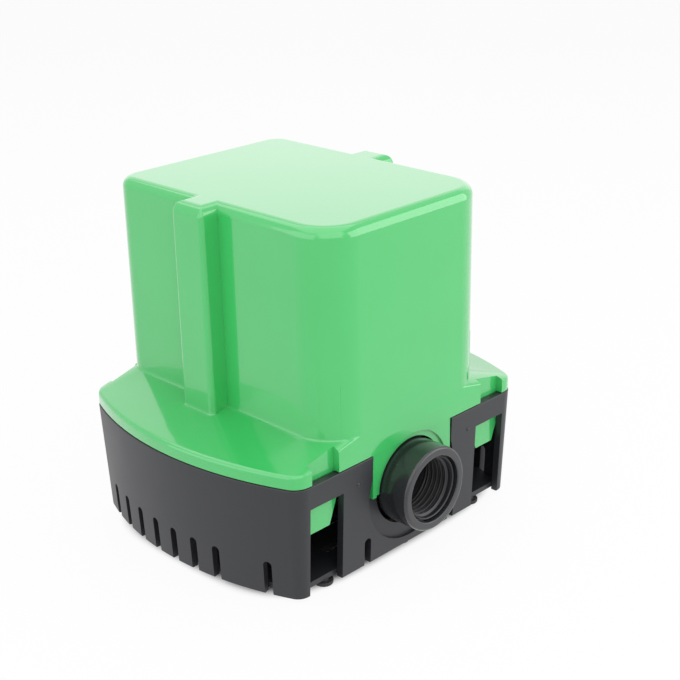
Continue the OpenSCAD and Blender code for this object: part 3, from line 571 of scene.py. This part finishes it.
def hoodLevels(s):
    # rim with a soft edge, sloping ledge, tower and rounded top
    rim, wall, flat = footprint(s["gap"]), tower(0), shell["hoodWidth"] / 2
    plain = [(max(-flat, min(flat, x)), y) for x, y in wall]
    ledgeZ, browShare = s["rimZ"] + s["rise"], s["rimEdge"][-1][0]
    levels = [(s["rimZ"], between(rim, plain, s["rimIn"])), (s["rimZ"] + s["rimSoft"], rim)]
    levels += [(ledgeZ - drop, between(rim, plain, f)) for f, drop in s["rimEdge"]]
    foot = []
    for (px, _), (qx, qy) in zip(rim, wall):
        f = min(1, (abs(px) - abs(qx)) / (abs(px) - flat))
        foot.append((qx, qy, ledgeZ + s["ledgeRise"] * (f - browShare) / (1 - browShare)))
    brow = [(x, y, ledgeZ) for x, y in between(rim, plain, browShare)]
    levels += [(0, between(brow, foot, f)) for f in s["ledgeSteps"]]
    levels += [(0, [(x, y, z + lift) for x, y, z in between(brow, foot, f)]) for f, lift in s["cove"]]
    for i in range(s["roundSteps"] + 1):
        a = pi / 2 * i / s["roundSteps"]
        inset = shell["draft"] + s["round"] * (1 - cos(a))
        levels.append((s["top"] - s["round"] * (1 - sin(a)), tower(inset)))
    return levels


def makeHood(s):
    body = outward(meshObject("hoodShell", *loft(hoodLevels(s)), "greenPlastic"))
    ledgeZ = s["rimZ"] + s["rise"]
    towerZ = ledgeZ + s["ledgeRise"]
    # locating lip, snap tabs and the tongue above the outlet
    lip = prism(footprint(s["lipOut"]), s["rimZ"] - s["lipDrop"], s["rimZ"] + over)
    tabTop, half, tip = s["rimZ"] + s["tabSeat"], s["tabRoot"] / 2, s["tabTip"] / 2
    y1 = halfDepth - s["tabOut"]
    tab = slab([(s["tabX"] - tip, s["tabZ"]), (s["tabX"] + tip, s["tabZ"]), (s["tabX"] + half, s["windowTop"]),
                (s["tabX"] + half, tabTop), (s["tabX"] - half, tabTop), (s["tabX"] - half, s["windowTop"])],
               y1 - s["tabThick"], y1)
    front = -halfDepth + s["tongueOut"]
    tongue = block(-s["tongueHalf"], s["tongueHalf"], front, front + s["tongueThick"],
                   s["outletZ"] + s["tongueLift"], ledgeZ - s["tongueSink"])
    carve(body, [lip] + fourWays([tab]) + [tongue], "UNION")
    # hollow and corner notches
    inside = loft([(s["rimZ"] - s["lipDrop"] - over, footprint(s["lipIn"])),
                   (s["rimZ"] + s["innerRise"], footprint(s["lipIn"])),
                   (towerZ - s["innerDrop"], tower(s["thick"] + s["innerSlack"])),
                   (s["top"] - s["thick"], tower(s["thick"] + shell["draft"]))])
    carve(body, [inside])
    x, w, deep = s["notchX"], s["notchWidth"] / 2, halfDepth - s["notchDepth"]
    carve(body, fourWays([block(x - w, x + w, deep, halfDepth + over, s["rimZ"] - over, towerZ + 2 * over)]))
    # screw bosses with two webs each, and their pilot holes
    bx, by = s["bossX"], s["bossY"]
    webX, webY = shell["hoodWidth"] / 2 - s["thick"], shell["hoodDepth"] / 2 - s["thick"]
    t, drop = s["webThick"] / 2, s["webDrop"]
    carve(body, fourWays([post(bx, by, s["bossR"], s["bossZ"], s["bossTop"])]), "UNION")
    carve(body, fourWays([block(bx, webX, by - t, by + t, towerZ, s["bossTop"] - drop)]), "UNION")
    carve(body, fourWays([block(bx - t, bx + t, by, webY, towerZ, s["bossTop"] - 2 * drop)]), "UNION")
    carve(body, fourWays([post(bx, by, s["pilotR"], s["bossZ"] - over, s["bossZ"] + s["pilotDeep"])]))
    # arch and step round the outlet, opening for the cord
    carve(body, [drum(0, s["outletZ"], s["archR"], -halfDepth - over, -halfDepth + s["archDeep"])])
    carve(body, [drum(0, s["outletZ"], s["stepR"], -halfDepth - over, -halfDepth + s["stepDeep"])])
    carve(body, [drum(0, s["cordZ"], s["cordR"], halfDepth - s["cordIn"], halfDepth + s["cordOut"])])
    return soften(body, s["soft"], sharp)


dress(makeHood(hood), "pump", "hood")


# strainer wall
strainer = {"top": 52, "bottom": 2, "lean": 2, "thick": 3.2, "edge": 0.5, "soft": 0.35, "windowX": 50.8,
            "windowWidth": 18.6, "windowTop": 42, "windowDeep": 7, "slotWidth": 3.8, "slotHigh": 15.5,
            "slotBelow": 4, "slotDeep": 12, "slotStart": 8, "pitch": 12.3, "perSide": 4, "closed": -3,
            "frontSlotX": 26.6, "frontSlotLess": 3, "frontSlotStart": 2, "outletZ": 31.8, "dishR": 26.4,
            "dishDeep": 2.4, "throat": 24.6, "collarR": 18.5, "collarGap": 1.2, "backingZ": 5.7, "backingIn": 2.7,
            "cutDeep": 11}


def leanAt(s, z):
    # how far the wall has leaned in at a height
    return s["lean"] * (s["top"] - z) / (s["top"] - s["bottom"])


def leaning(s, inset, z0, z1, edge=0.0):
    drop = lambda z: inset + leanAt(s, z)
    levels = []
    if edge:
        levels += [(z0 + edge * (1 - cos(a)), footprint(drop(z0) + edge * (1 - sin(a))))
                   for a in (0, pi / 6, pi / 3)]
    levels.append((z0 + edge, footprint(drop(z0 + edge))))
    levels += [(z0 + (z1 - z0) * f, footprint(drop(z0 + (z1 - z0) * f))) for f in (0.35, 0.7)]
    levels.append((z1 - edge, footprint(drop(z1 - edge))))
    if edge:
        levels += [(z1 - edge * (1 - sin(a)), footprint(drop(z1) + edge * (1 - cos(a))))
                   for a in (pi / 6, pi / 3, pi / 2)]
    return loft(levels)


def slotShape(w, h, depth, below):
    # slot with a round top, as a slab along Y
    top = h - w / 2
    outline = [(-w / 2, -below), (w / 2, -below)]
    outline += [(w / 2 * cos(pi * i / 12), top + w / 2 * sin(pi * i / 12)) for i in range(13)]
    return slab(outline, 0, depth)


def moved(shape, turn, place):
    # turns a shape of shell coordinates round Z, then moves it
    verts, faces = shape
    ca, sa = cos(turn), sin(turn)
    return [(x * ca - (y - shellY) * sa + place[0], x * sa + (y - shellY) * ca + place[1] + shellY, z + place[2])
            for x, y, z in verts], faces


def strainerSlots(s):
    slots = []
    for mirrored in (False, True):
        for i in range(-s["perSide"], s["perSide"] + 1):
            if i == s["closed"]:  # the wall stays whole here
                continue
            a = asin(i * s["pitch"] / flankR)
            r = flankR - s["slotStart"]
            verts, faces = moved(slotShape(s["slotWidth"], s["slotHigh"], s["slotDeep"], s["slotBelow"]),
                                 a - pi / 2, (flankX + r * cos(a), r * sin(a), s["bottom"]))
            slots.append(([(-x, y, z) for x, y, z in verts] if mirrored else verts, faces))
    low = slotShape(s["slotWidth"], s["slotHigh"] - s["frontSlotLess"], s["slotDeep"], s["slotBelow"])
    for side in (-1, 1):
        slots.append(moved(low, 0, (side * s["frontSlotX"], -halfDepth - s["frontSlotStart"], s["bottom"])))
    return slots


def makeStrainer(s):
    shape = leaning(s, 0, s["bottom"], s["top"], s["edge"])
    body = outward(meshObject("strainerShell", *shape, "greyPlastic"))
    carve(body, [leaning(s, s["thick"], s["bottom"] - over, s["top"] + over)])
    # backing behind the dish, up to a little above the outlet's middle
    r = s["dishR"] + s["thick"]
    low, high = asin((s["outletZ"] - s["backingZ"]) / r), asin(s["backingZ"] / r)
    rim = [(r * cos(a), s["outletZ"] + r * sin(a)) for a in [-low + (low + high) * i / 20 for i in range(21)]]
    carve(body, [slab(rim + [(-x, z) for x, z in reversed(rim)], -halfDepth + s["backingIn"],
                      -halfDepth + s["lean"] + s["dishDeep"] + s["thick"])], "UNION")
    # windows, slots, dish, hole of the collar and the gap above it
    w = s["windowWidth"] / 2
    carve(body, fourWays([block(s["windowX"] - w, s["windowX"] + w, halfDepth - s["windowDeep"],
                                halfDepth + over, -over, s["windowTop"])]))
    carve(body, strainerSlots(s))
    outside, inside = -halfDepth - over, -halfDepth + s["cutDeep"]
    dish = s["dishDeep"] + leanAt(s, s["outletZ"])
    carve(body, [drum(0, s["outletZ"], s["dishR"], outside, -halfDepth + dish)])
    carve(body, [drum(0, s["outletZ"], s["collarR"] + s["collarGap"], outside, inside)])
    carve(body, [block(-s["throat"], s["throat"], outside, inside, s["outletZ"], s["top"] + 2 * over)])
    return soften(body, s["soft"], sharp)


dress(makeStrainer(strainer), "strainer", "strainer_wall")


# outlet: collar, and a pipe with a thread in its mouth and a ring groove on its spigot
outlet = {"z": 31.8, "front": -76, "collarR": 18.5, "pipeR": 14, "play": 0.1, "edge": 1.3, "lipRound": 0.6,
          "reach": 12, "tuck": 4, "counterR": 14.6, "counterDeep": 3, "setback": 1.6, "root": 13.25, "crest": 12.06,
          "pitch": 2.3, "crestPower": 0.8, "threadStart": 0.7, "threadLong": 16, "threadRows": 110, "runIn": 1.2,
          "runOut": 0.8, "runLong": 1.5, "boreR": 8, "socketY": -42, "spigotR": 11.5, "spigotLong": 9.8,
          "ringY": -37, "ringWire": 1, "ringHalf": 1.3, "ringPlay": 0.05, "chamfer": 0.4}


def alongY(h, a, b):
    # places a lathe's profile along Y at the outlet's height
    return (a, h + shellY, outlet["z"] + b)


def bend(h, r, size, a0, a1, n=5):
    # quarter round in a profile
    return [(h + size * cos(radians(a0 + (a1 - a0) * i / n)), r + size * sin(radians(a0 + (a1 - a0) * i / n)))
            for i in range(n + 1)]


def makeCollar(s):
    f, back, e = s["front"], s["front"] + s["reach"] + s["tuck"], s["edge"]
    seat, lip = s["pipeR"] + s["play"], s["lipRound"]
    profile = bend(f + e, s["collarR"] - e, e, 180, 90) + bend(back - e, s["collarR"] - e, e, 90, 0)
    profile += [(back, seat), (f + s["counterDeep"], seat), (f + s["counterDeep"], s["counterR"])]
    profile += bend(f + lip, s["counterR"] + lip, lip, 270, 180)
    piece = outward(meshObject("outletCollar", *lathe(profile, alongY), "collarPlastic"))
    return soften(piece, 0.12, 50, 2)


def threadRadius(s, depth, turn):
    # radius of the mouth's wall at a depth and an angle: a right-handed ridge with a rounded crest
    phase = (depth / s["pitch"] - turn / tau) % 1
    ridge = max(0, cos(tau * (phase - 0.5))) ** s["crestPower"]
    start = min(1, max(0, (depth - s["runIn"]) / s["runLong"]))
    stop = min(1, max(0, (s["threadLong"] - s["runOut"] - depth) / s["runLong"]))
    return s["root"] - (s["root"] - s["crest"]) * ridge * (start * stop)


def makePipe(s, n=120):
    # rows of (along, radius at an angle), once round the wall: outside, mouth, thread, bore, spigot
    even = lambda r: lambda a: r
    mouth, y1, c = s["front"] + s["setback"], s["socketY"], s["chamfer"]
    rows = [(y1, even(s["pipeR"])), (mouth + c, even(s["pipeR"])), (mouth, even(s["pipeR"] - c))]
    rows += [(mouth, even(s["root"] + 0.35)), (mouth + 0.5, even(s["root"]))]
    for i in range(s["threadRows"] + 1):
        depth = s["threadStart"] + (s["threadLong"] - s["threadStart"]) * i / s["threadRows"]
        rows.append((mouth + depth, lambda a, depth=depth: threadRadius(s, depth, a)))
    inner, end = mouth + s["threadLong"], y1 + s["spigotLong"]
    rows += [(inner, even(s["boreR"] + 0.5)), (inner + 0.5, even(s["boreR"])), (end, even(s["boreR"]))]
    spigot, groove = even(s["spigotR"]), even(s["spigotR"] - 2 * s["ringWire"] - s["ringPlay"])
    ring0, ring1 = s["ringY"] - s["ringHalf"], s["ringY"] + s["ringHalf"]
    rows += [(end, even(s["spigotR"] - c)), (end - c, spigot), (ring1, spigot), (ring1, groove),
             (ring0, groove), (ring0, spigot), (y1, spigot)]
    verts, faces = [], []
    for y, radius in rows:
        for i in range(n):
            a = tau * i / n
            verts.append(alongY(y, radius(a) * cos(a), radius(a) * sin(a)))
    k = len(rows)
    for j in range(k):
        q = (j + 1) % k
        faces += [[j * n + i, q * n + i, q * n + (i + 1) % n, j * n + (i + 1) % n] for i in range(n)]
    piece = outward(meshObject("dischargePipe", verts, faces, "pipePlastic"))
    m = piece.modifiers.new("shade", "WEIGHTED_NORMAL")
    m.keep_sharp = True
    return applied(piece)


dress(makeCollar(outlet), "pump", "outlet_collar")
dress(makePipe(outlet), "pump", "discharge_pipe")


# feet and small marks, by geometry nodes
def scatter(name, places, unit, finish):
    # puts a copy of the unit mesh on each place; a place is (x, y, z) in millimetres
    base = meshObject(name, [(x, y + shellY, z) for x, y, z in places], [], finish, False)
    unitObj = outward(meshObject(name + "Unit", unit[0], unit[1], finish))
    soften(unitObj, 0.15, sharp, 2)
    group = bpy.data.node_groups.new(name + "Nodes", "GeometryNodeTree")
    group.interface.new_socket("Geometry", in_out="INPUT", socket_type="NodeSocketGeometry")
    unitSocket = group.interface.new_socket("Unit", in_out="INPUT", socket_type="NodeSocketObject")
    paintSocket = group.interface.new_socket("Paint", in_out="INPUT", socket_type="NodeSocketMaterial")
    group.interface.new_socket("Geometry", in_out="OUTPUT", socket_type="NodeSocketGeometry")
    add, link = group.nodes.new, group.links.new
    start, end = add("NodeGroupInput"), add("NodeGroupOutput")
    points, info = add("GeometryNodeMeshToPoints"), add("GeometryNodeObjectInfo")
    copies, solid = add("GeometryNodeInstanceOnPoints"), add("GeometryNodeRealizeInstances")
    coat = add("GeometryNodeSetMaterial")
    link(start.outputs["Geometry"], points.inputs["Mesh"])
    link(points.outputs["Points"], copies.inputs["Points"])
    link(start.outputs["Unit"], info.inputs["Object"])
    link(info.outputs["Geometry"], copies.inputs["Instance"])
    link(copies.outputs["Instances"], solid.inputs["Geometry"])
    link(solid.outputs["Geometry"], coat.inputs["Geometry"])
    link(start.outputs["Paint"], coat.inputs["Material"])
    link(coat.outputs["Geometry"], end.inputs["Geometry"])
    m = base.modifiers.new("copies", "NODES")
    m.node_group = group
    m[unitSocket.identifier] = unitObj
    m[paintSocket.identifier] = paint[finish]
    bpy.context.view_layer.update()
    applied(base)
    bpy.data.objects.remove(unitObj)
    return base


# small moulding pips on the two front posts, at (x, z)
pips = {"r": 0.9, "high": 0.45, "root": 0.6, "dome": (25, 50, 70), "places": [(-33, 42.5), (36, 42.5)]}


def pipUnit(s, n=24):
    # a flat dome along -Y
    profile = [(s["root"], pole), (s["root"], s["r"]), (0, s["r"])]
    profile += [(-s["high"] * sin(radians(a)), s["r"] * cos(radians(a))) for a in s["dome"]]
    profile.append((-s["high"], pole))
    return lathe(profile, lambda h, a, b: (a, h, b), n)


pipPlaces = [(x, -halfDepth + leanAt(strainer, z), z) for x, z in pips["places"]]
pipObject = scatter("frontPips", pipPlaces, pipUnit(pips), "greyPlastic")
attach(pipObject, "strainer")
print("front pips are on")

feet = {"r": 4, "high": 2, "edge": 1, "stem": 2, "stemTop": 3.2, "inset": 7.6, "windowX": 46.8, "flank": 68.4}


def footUnit(s, n=48):
    e = s["edge"]
    profile = [(0, pole), (0, s["r"] - e)] + bend(e, s["r"] - e, e, 180, 90, 4)[1:]
    profile += [(s["high"], s["r"]), (s["high"], s["stem"]), (s["stemTop"], s["stem"]), (s["stemTop"], pole)]
    return lathe(profile, lambda h, a, b: (a, b, h), n)


footY = halfDepth - feet["inset"]
footPlaces = [(sx * feet["windowX"], sy * footY, 0) for sx in (-1, 1) for sy in (-1, 1)]
footPlaces += [(0, sy * footY, 0) for sy in (-1, 1)] + [(sx * feet["flank"], 0, 0) for sx in (-1, 1)]
dress(scatter("rubberFeet", footPlaces, footUnit(feet), "rubber"), "strainer", "rubber_feet")


# cord inlet
grommet = {"y": 63.25, "z": 118, "holeR": 5.5, "boreR": 3.8, "flangeR": 7.6, "flange": 1.2, "wall": 2.6,
           "edge": 0.5, "play": 0.8, "stand": 0.2, "chamfer": 0.4}


def makeGrommet(s):
    inner, outer = s["y"] - s["wall"] - s["play"], s["y"] + s["stand"]
    back, tip = inner - s["flange"], outer + s["flange"]
    e, round0 = s["edge"], s["flangeR"] - s["edge"]
    profile = [(back, s["boreR"])] + bend(back + e, round0, e, 180, 90, 4)
    profile += [(inner, s["flangeR"]), (inner, s["holeR"]), (outer, s["holeR"]), (outer, s["flangeR"])]
    profile += bend(tip - e, round0, e, 90, 0, 4)
    profile += [(tip, s["boreR"] + s["chamfer"]), (tip - s["chamfer"], s["boreR"])]
    shape = lathe(profile, lambda h, a, b: (a, h + shellY, s["z"] + b), 72)
    return soften(outward(meshObject("cordGrommet", *shape, "rubber")), 0.1, 50, 2)


dress(makeGrommet(grommet), "pump", "cord_grommet")
